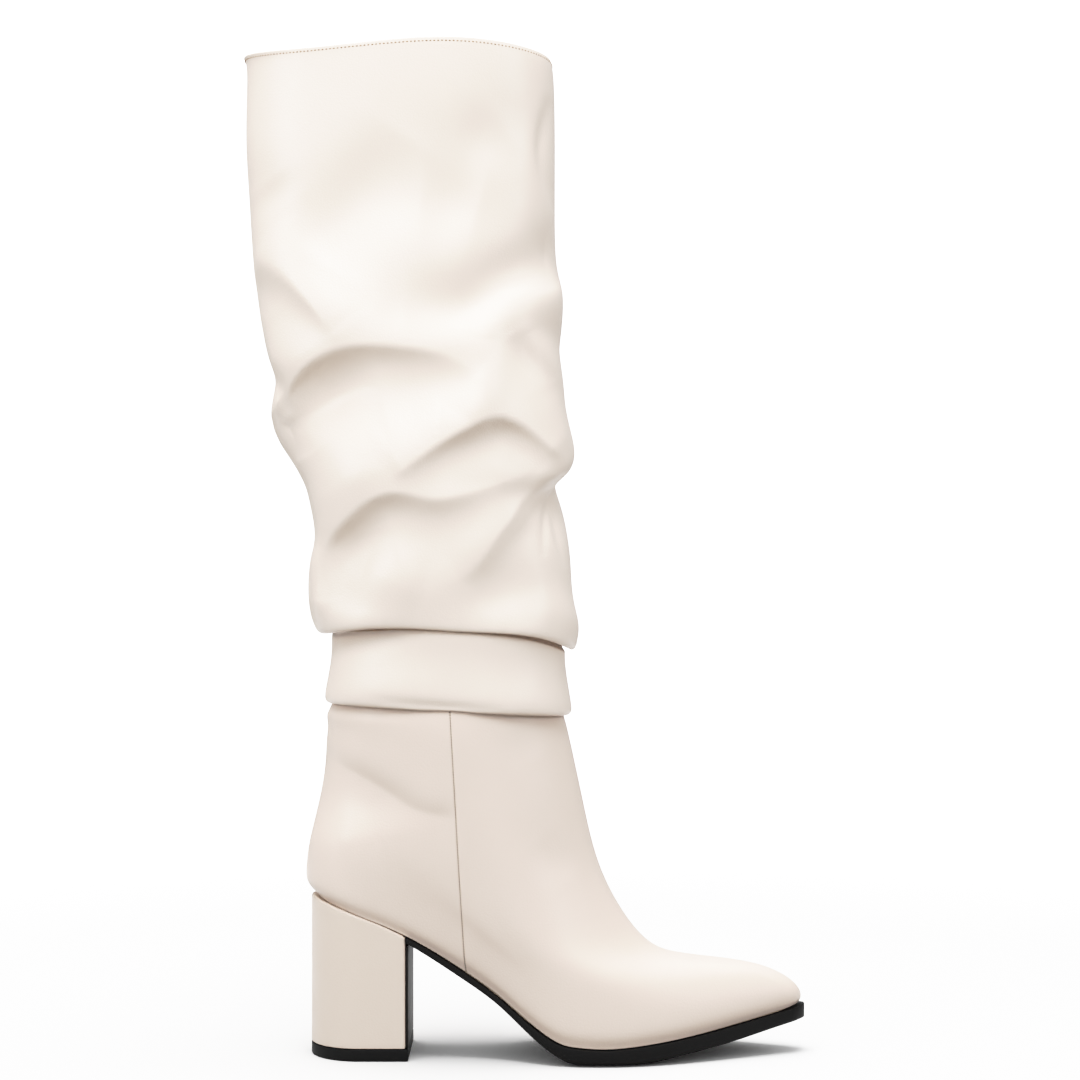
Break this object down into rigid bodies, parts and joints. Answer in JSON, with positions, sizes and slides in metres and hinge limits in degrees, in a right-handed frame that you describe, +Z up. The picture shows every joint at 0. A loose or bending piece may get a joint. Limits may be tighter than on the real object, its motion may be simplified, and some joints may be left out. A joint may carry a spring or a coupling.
{
  "type": "slouch boot",
  "caption": "Knee-high slouch boot with a soft gathered leather shaft, a turned-up ankle band, a pointed toe and a covered block heel.",
  "frame": {"origin": "on the floor, under the middle of the boot's box", "axes": "+X to the toe, +Y to the inner side of the right foot, +Z up the shaft"},
  "size_m": [0.2762, 0.1038, 0.4915],
  "materials": {
    "sole_rubber": "matt black moulded rubber",
    "heel_leather": "smooth cream leather, stretched over the heel",
    "heel_black": "satin black flap",
    "top_piece_rubber": "matt black rubber",
    "insole_lining": "matt beige lining",
    "upper_leather": "smooth cream leather with a soft sheen",
    "shaft_leather": "soft smooth cream leather with a soft sheen"
  },
  "bodies": {
    "root": {"outsole": "sole_rubber", "heel_block": "heel_leather", "heel_breast_cover": "heel_black", "heel_top_piece": "top_piece_rubber", "insole": "insole_lining", "upper": "upper_leather", "shaft": "shaft_leather"}
  },
  "joints": []
}
